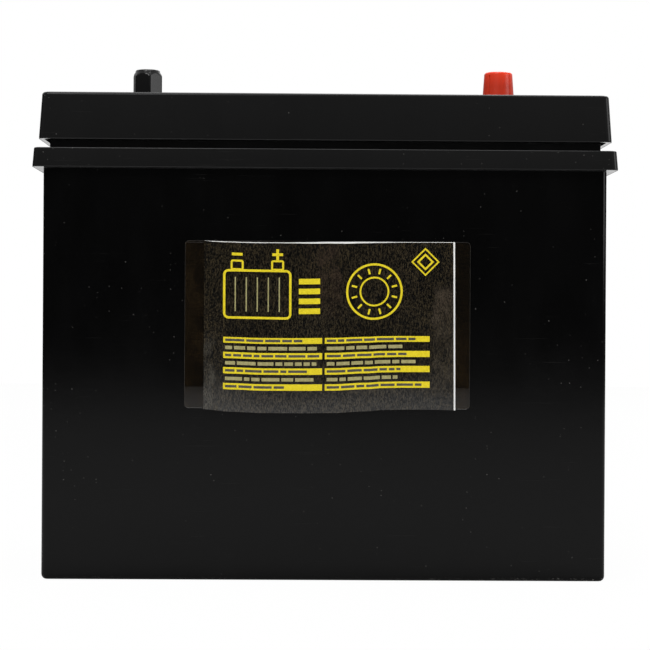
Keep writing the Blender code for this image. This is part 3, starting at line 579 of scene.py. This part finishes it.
class Print:
    """Flat ink shapes on a curved leaf, given in mm from the leaf's left and bottom edges."""

    def __init__(self, point):
        self.point = point
        self.verts = []
        self.faces = []

    def bar(self, left, right, low, high, step=2.0):
        count = max(1, round((right - left) / step))
        start = len(self.verts)
        for i in range(count + 1):
            s = left + (right - left) * i / count
            self.verts += [self.point(s * MM, low * MM), self.point(s * MM, high * MM)]
        for i in range(count):
            a = start + 2 * i
            self.faces.append((a, a + 2, a + 3, a + 1))

    def stroke(self, points, width, closed=False):
        """Ribbon of even width along a line of points."""
        points = [Vector(p) for p in points]
        count = len(points)
        start = len(self.verts)
        for i in range(count):
            before = points[i - 1] if i or closed else points[i]
            after = points[(i + 1) % count] if i < count - 1 or closed else points[i]
            first = (points[i] - before).normalized() if (points[i] - before).length else None
            second = (after - points[i]).normalized() if (after - points[i]).length else None
            if first is None:
                first = second
            if second is None:
                second = first
            tangent = (first + second).normalized()
            side = Vector((-tangent.y, tangent.x))
            reach = width / 2 / max(0.35, side.dot(Vector((-first.y, first.x))))
            for p in (points[i] + side * reach, points[i] - side * reach):
                self.verts.append(self.point(p.x * MM, p.y * MM))
        for i in range(count if closed else count - 1):
            a = start + 2 * i
            b = start + 2 * ((i + 1) % count)
            self.faces.append((a + 1, b + 1, b, a))


def line(a, b, count=8):
    return [(a[0] + (b[0] - a[0]) * i / count, a[1] + (b[1] - a[1]) * i / count) for i in range(count + 1)]


def rounded_box(left, right, low, high, radius, steps=5):
    points = []
    corners = ((right - radius, low + radius, -90), (right - radius, high - radius, 0),
               (left + radius, high - radius, 90), (left + radius, low + radius, 180))
    for x, y, start in corners:
        for i in range(steps + 1):
            angle = math.radians(start + 90 * i / steps)
            points.append((x + radius * math.cos(angle), y + radius * math.sin(angle)))
    return points


def ring(x, y, radius, sides=48):
    angles = [2 * math.pi * i / sides for i in range(sides)]
    return [(x + radius * math.cos(a), y + radius * math.sin(a)) for a in angles]


# Rows of plain bars on the leaflet, in mm from its left and bottom edges
COLUMNS = ((9.15, 55.5), (56.75, 105.9))
BAR_ROWS = ((10.4, 13.35), (17.8, 20.75), (24.95, 27.85), (32.15, 34.85))
PALE_ROWS = ((15.5, 0.93, 0.70), (22.8, 0.96, 0.90), (29.95, 0.98, 0.80))
LINE_COUNT = 24
LINE_TOP = 73.0
LINE_PITCH = 2.9
DASH_MARGIN = 0.9


def dashes(shape, left, right, middle, half, lengths):
    """Row of plain dashes of uneven length, which fills a bar up to its right end."""
    while left < right - 1.5:
        end = min(right, left + lengths.uniform(2.5, 9.0))
        shape.bar(left, end, middle - half, middle + half)
        left = end + DASH_MARGIN


def line_rows(shape, columns, block, generator):
    """Blocks of plain lines: each has a thick first line, a short last one and a gap after it."""
    for left, right in columns:
        for k in range(LINE_COUNT):
            place = k % block
            if place == block - 1:
                continue
            low = LINE_TOP - LINE_PITCH * k
            share = 1.0 if place < block - 2 else generator.uniform(0.35, 0.8)
            thick = 1.5 if place == 0 else 0.9
            shape.bar(left, left + (right - left) * share, low, low + thick, 4.0)


def build_print():
    def on_cover(s, t):
        return cover_point(s, t, LEAF_SHEET + INK_LIFT)

    def above_ink(s, t):
        return cover_point(s, t, LEAF_SHEET + 2 * INK_LIFT)

    yellow = Print(on_cover)
    pale = Print(on_cover)
    dark = Print(above_ink)
    lengths = random.Random(11)
    fills = ((0.62, 0.98), (0.86, 0.73), (0.99, 0.79), (0.83, 0.88))
    for (low, high), shares in zip(BAR_ROWS, fills):
        for (left, right), share in zip(COLUMNS, shares):
            yellow.bar(left, right, low, high)
            start = left + DASH_MARGIN
            end = left + DASH_MARGIN + (right - left - 2 * DASH_MARGIN) * share
            dashes(dark, start, end, (low + high) / 2, 0.58, lengths)
    for middle, *shares in PALE_ROWS:
        for (left, right), share in zip(COLUMNS, shares):
            start = left + DASH_MARGIN
            end = left + DASH_MARGIN + (right - left - 2 * DASH_MARGIN) * share
            dashes(pale, start, end, middle, 0.8, lengths)
    # A block of six cells with its two terminals
    yellow.stroke(rounded_box(9.5, 40.5, 44.0, 66.0, 2.0), 1.1, True)
    for k in range(1, 6):
        x = 9.5 + 31.0 * k / 6
        pale.stroke(line((x, 47.0), (x, 63.0)), 0.55)
    for x in (15.5, 34.5):
        yellow.stroke(rounded_box(x - 2.6, x + 2.6, 66.6, 70.6, 0.6), 0.9, True)
    yellow.bar(13.0, 18.0, 73.0, 74.3)
    yellow.bar(32.0, 37.0, 73.0, 74.3)
    yellow.bar(33.85, 35.15, 71.15, 76.15)
    # Level bars
    for k in range(4):
        yellow.bar(44.5, 54.5, 46.0 + 4.6 * k, 48.6 + 4.6 * k)
    # A ring with ticks
    yellow.stroke(ring(80.0, 56.0, 12.8), 1.0, True)
    yellow.stroke(ring(80.0, 56.0, 6.6, 36), 0.8, True)
    for k in range(12):
        angle = math.radians(30 * k + 15)
        c, s = math.cos(angle), math.sin(angle)
        yellow.stroke(line((80 + 8.4 * c, 56 + 8.4 * s), (80 + 11.0 * c, 56 + 11.0 * s), 2), 0.9)
    # Two nested diamonds
    for reach, width in ((6.2, 0.7), (3.4, 0.9)):
        square = [(104 + reach, 70.0), (104, 70.0 + reach), (104 - reach, 70.0), (104, 70.0 - reach)]
        points = []
        for a, b in zip(square, square[1:] + square[:1]):
            points += line(a, b, 4)[:-1]
        yellow.stroke(points, width, True)
    for name, shape, finish in (("yellow_bars", yellow, "yellow_ink"), ("pale_lines", pale, "pale_ink"),
                                ("dark_lines", dark, "dark_ink")):
        add_mesh(name, shape.verts, shape.faces, (finish,), "leaflet_cover")

    def on_page(s, t):
        return leaf_point(s, t, PAGE_FRONT + (PAGE_SHEETS - 1) * PAGE_STEP + INK_LIFT)

    rows = Print(on_page)
    generator = random.Random(7)
    line_rows(rows, ((8.0, 55.0), (61.0, 108.0)), 8, generator)
    add_mesh("page_lines", rows.verts, rows.faces, ("grey_ink",), "battery")

    def inside_cover(s, t):
        return cover_point(s, t, -INK_LIFT)

    rows = Print(inside_cover)
    line_rows(rows, ((8.0, 54.0), (60.0, 106.0)), 6, generator)
    flipped = [tuple(reversed(face)) for face in rows.faces]
    add_mesh("cover_inside_lines", rows.verts, flipped, ("grey_ink",), "leaflet_cover")


THREAD_PITCH = 0.00125
THREAD_DEPTH = 0.00068
THREAD_SIDES = 36
THREAD_LEVELS = 8
STUD_TOP_CHAMFER = 0.0009
STUD_FOOT_CHAMFER = 0.0006


def build_stud(pole):
    """Stud with a rolled thread, chamfered at its top."""
    low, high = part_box(f"{pole}_stud")
    x, y = (low[0] + high[0]) / 2, (low[1] + high[1]) / 2
    radius = (high[0] - low[0]) / 2
    sides = THREAD_SIDES
    levels = []
    z = low[2]
    while z < high[2] - 1e-6:
        levels.append(z)
        z += THREAD_PITCH / THREAD_LEVELS
    levels.append(high[2])
    verts, faces = [], []
    for z in levels:
        for i in range(sides):
            turn = ((z - low[2]) / THREAD_PITCH - i / sides) % 1.0
            crest = max(0.0, min(1.0, 1.7 - abs(turn - 0.5) * 3.6))
            r = radius - THREAD_DEPTH * (1 - crest)
            r = min(r, radius - STUD_TOP_CHAMFER + (high[2] - z))
            r = min(r, radius - STUD_FOOT_CHAMFER + (z - low[2]))
            angle = 2 * math.pi * i / sides
            verts.append((x + r * math.cos(angle), y + r * math.sin(angle), z))
    for j in range(len(levels) - 1):
        for i in range(sides):
            a, b = j * sides + i, j * sides + (i + 1) % sides
            faces.append((a, b, b + sides, a + sides))
    faces.append(tuple(reversed(range(sides))))
    faces.append(tuple((len(levels) - 1) * sides + i for i in range(sides)))
    stud = add_mesh(f"{pole}_threaded_stud", verts, faces, ("steel",), "battery",
                    (f"{pole}_stud",))
    sharpen(stud, 32)


def case_ring(length, width, radius, count):
    """Points round a rounded rectangle at even steps, with the outward direction at each."""
    straight_x, straight_y = length - 2 * radius, width - 2 * radius
    arc = math.pi / 2 * radius
    total = 2 * (straight_x + straight_y) + 4 * arc
    points = []
    for k in range(count):
        at = total * k / count
        angle = 0.0
        x, y = length / 2, -straight_y / 2
        for run, turn in ((straight_y, 0), (arc, 1), (straight_x, 0), (arc, 1), (straight_y, 0), (arc, 1),
                          (straight_x, 0), (arc, 1)):
            out = Vector((math.cos(angle), math.sin(angle)))
            go = Vector((-out.y, out.x))
            if at <= run:
                if turn:
                    swing = at / radius
                    centre = Vector((x, y)) - out * radius
                    out = Vector((math.cos(angle + swing), math.sin(angle + swing)))
                    points.append((centre + out * radius, out))
                else:
                    points.append((Vector((x, y)) + go * at, out))
                break
            if turn:
                centre = Vector((x, y)) - out * radius
                angle += math.pi / 2
                out = Vector((math.cos(angle), math.sin(angle)))
                x, y = centre + out * radius
            else:
                x, y = Vector((x, y)) + go * run
            at -= run
    return points


FLASH_CORNER = 0.003
FLASH_STEPS = 420


def build_flash(name, length, width, z, most, seed):
    """Thin uneven lip that the mould left along an outer lower edge."""
    points = case_ring(length, width, FLASH_CORNER, FLASH_STEPS)
    verts, faces = [], []
    for p, out in points:
        rough = noise.noise(Vector((p.x * 95, p.y * 95, seed))) + 0.5 * noise.noise(p.to_3d() * 420)
        drop = most * max(0.05, min(1.0, 0.35 + 0.8 * rough))
        upper, inner = p - out * 0.00007, p - out * 0.00030
        verts += [(upper.x, upper.y, z + 0.00042), (p.x, p.y, z - drop), (inner.x, inner.y, z + 0.00001)]
    count = len(points)
    for k in range(count):
        a, b = 3 * k, 3 * ((k + 1) % count)
        for i, j in ((0, 1), (1, 2), (2, 0)):
            faces.append((a + i, a + j, b + j, b + i))
    flash = add_mesh(name, verts, faces, ("flash",), "battery")
    sharpen(flash, 35)


def dress_nodes():
    dress("container", "case", 0.00014)
    dress("lid", "lid", 0.00014)
    for side in ("left", "right"):
        dress(f"vent_cover_{side}", "cover", 0.0003)
        dress(f"flame_arrestor_{side}", "frit", 0.0002)
    for cell in range(1, 7):
        dress(f"relief_valve_{cell}", "valve", 0.0002)
        dress(f"negative_plates_{cell}", "negative_paste")
        dress(f"positive_plates_{cell}", "positive_paste")
        dress(f"separator_{cell}", "mat")
    for link in range(1, 6):
        dress(f"cell_link_{link}", "lead")
    for pole, resin, cap in (("negative", "black_resin", "black_cap"), ("positive", "red_resin", "red_cap")):
        dress(f"{pole}_post", "lead")
        dress(f"{pole}_bushing", "lead", 0.00025)
        dress(f"{pole}_seal", resin, 0.0003)
        dress(f"{pole}_stud", "steel")
        dress(f"{pole}_cap", cap, 0.0005 if pole == "negative" else 0.0003, 4, 100)
    dress("label_film", "film", 0.00008)
    dress("leaflet_pages", "paper")
    dress("leaflet_cover", "print")


def add_light(name, place, target, width, height, power):
    data = bpy.data.lights.new(name, "AREA")
    data.shape = "RECTANGLE"
    data.size, data.size_y = width, height
    data.energy = power
    lamp = bpy.data.objects.new(name, data)
    lamp.location = place
    lamp.rotation_euler = (Vector(target) - Vector(place)).to_track_quat("-Z", "Y").to_euler()
    lamp.visible_camera = False
    bpy.context.scene.collection.objects.link(lamp)


def stage_mesh(name, verts, faces, material):
    mesh = bpy.data.meshes.new(name)
    mesh.from_pydata(verts, [], faces)
    mesh.materials.append(material)
    obj = bpy.data.objects.new(name, mesh)
    bpy.context.scene.collection.objects.link(obj)
    return obj


def build_studio():
    """Pale round floor, a low dark wall far round it, soft lamps and a white world."""
    material, g = new_graph("floor_finish")
    tone = g.noise(g.place(), 3.0, 3)
    duller, brighter = tint((1, 1, 1), FLOOR_SHADE - 0.01), tint((1, 1, 1), FLOOR_SHADE + 0.01)
    pale = g.mix(g.spread(tone, 0.3, 0.7), duller, brighter)
    plain = g.add("ShaderNodeBsdfDiffuse", {"Color": pale}).outputs[0]
    white = g.add("ShaderNodeEmission", {"Color": (1, 1, 1, 1), "Strength": 1.0}).outputs[0]
    seen = g.add("ShaderNodeLightPath").outputs["Is Camera Ray"]
    share = g.math("MULTIPLY", seen, 0.98)
    both = g.add("ShaderNodeMixShader", {0: share, 1: plain, 2: white}).outputs[0]
    g.add("ShaderNodeOutputMaterial", {0: both})
    sides = STUDIO_SIDES
    rim = [(math.cos(2 * math.pi * i / sides), math.sin(2 * math.pi * i / sides)) for i in range(sides)]
    reach = STUDIO_RADIUS + 0.05
    verts = [(0, 0, -FLOOR_DROP)] + [(reach * x, reach * y, -FLOOR_DROP) for x, y in rim]
    stage_mesh("floor", verts, [(0, 1 + i, 1 + (i + 1) % sides) for i in range(sides)], material)

    material, g = new_graph("dark_wall_finish")
    spot = g.add("ShaderNodeSeparateXYZ", {0: g.place()})
    tone = g.spread(g.noise(g.place(), 1.4, 3), 0.3, 0.7, 0.85, 1.15)
    side = g.spread(spot.outputs[0], 0.05, 0.6, 1.0, 1.28)
    left = g.spread(spot.outputs[0], -2.3, -0.8, 0.25, 1.0)
    side = g.math("MULTIPLY", side, g.math("MAXIMUM", left, g.spread(spot.outputs[1], -0.4, 0.4, 1.0, 0.0)))
    rise = g.spread(spot.outputs[2], 0.5, 1.02, 0.055, 0.92)
    glow = g.math("MULTIPLY", rise, g.math("MULTIPLY", tone, side))
    dim = g.add("ShaderNodeEmission", {"Color": (1, 1, 1, 1), "Strength": glow}).outputs[0]
    g.add("ShaderNodeOutputMaterial", {0: dim})
    verts = [(STUDIO_RADIUS * x, STUDIO_RADIUS * y, z) for z in (-0.3, WALL_HEIGHT) for x, y in rim]
    faces = [(i, (i + 1) % sides, sides + (i + 1) % sides, sides + i) for i in range(sides)]
    wall = stage_mesh("dark_wall", verts, faces, material)
    wall.visible_camera = False
    wall.visible_shadow = False

    add_light("top_softbox", (0.0, 0.05, 1.75), (0, 0.05, 0.1), 0.7, 0.8, 14)
    add_light("front_softbox", (-0.7, -2.0, 1.9), (0, 0, 0.12), 1.1, 1.1, 27)
    add_light("back_softbox", (0.6, 2.1, 1.9), (0, 0, 0.12), 1.1, 1.1, 14)
    add_light("right_softbox", (2.0, -0.62, 0.55), (0, 0, 0.2), 1.0, 0.7, 8)

    world = bpy.data.worlds.new("studio_world")
    world.use_nodes = True
    bpy.context.scene.world = world
    g = Graph(world.node_tree)
    path = g.add("ShaderNodeLightPath")
    shown = g.math("MAXIMUM", path.outputs["Is Camera Ray"], path.outputs["Is Glossy Ray"])
    shown = g.math("MAXIMUM", shown, path.outputs["Is Transmission Ray"])
    plain = g.add("ShaderNodeBackground", {0: (1, 1, 1, 1), 1: 0.55}).outputs[0]
    white = g.add("ShaderNodeBackground", {0: (1, 1, 1, 1), 1: 1.0}).outputs[0]
    both = g.add("ShaderNodeMixShader", {0: shown, 1: plain, 2: white}).outputs[0]
    g.add("ShaderNodeOutputWorld", {0: both})


def build_camera():
    c, s = math.cos(CAMERA_YAW), math.sin(CAMERA_YAW)
    right, up, forward = Vector((c, -s, 0)), Vector((0, 0, 1)), Vector((s, c, 0))
    place = right * CAMERA_OFFSET - forward * CAMERA_DISTANCE + up * CAMERA_HEIGHT
    c, s = math.cos(CAMERA_ROLL), math.sin(CAMERA_ROLL)
    right, up = right * c + up * s, up * c - right * s
    data = bpy.data.cameras.new("camera")
    data.sensor_width = SENSOR
    data.sensor_fit = "HORIZONTAL"
    rim_distance = CAMERA_DISTANCE + cad_box[0][1]
    data.lens = SENSOR * rim_distance / (PIXEL_AT_RIM * PHOTO_PIXELS)
    data.clip_start = 0.01
    camera = bpy.data.objects.new("camera", data)
    turn = Matrix((right, up, -forward)).transposed()
    camera.matrix_world = Matrix.Translation(place) @ turn.to_4x4()
    bpy.context.scene.collection.objects.link(camera)
    bpy.context.scene.camera = camera


bpy.context.scene.view_settings.view_transform = "Standard"
build_camera()
build_studio()
dress_nodes()
build_film_edge()
build_leaflet()
build_print()
for pole in ("negative", "positive"):
    build_stud(pole)
box_low, box_high = cad_box
rim_length, rim_width = box_high[0] - box_low[0], box_high[1] - box_low[1]
build_flash("rim_flash", rim_length, rim_width, RIM_BOTTOM, 0.00009, 1.7)
skirt_in = RIM_OVERHANG - SKIRT_OVERHANG
build_flash("skirt_flash", rim_length - 2 * skirt_in, rim_width - 2 * skirt_in, SKIRT_BOTTOM, 0.00006, 4.2)
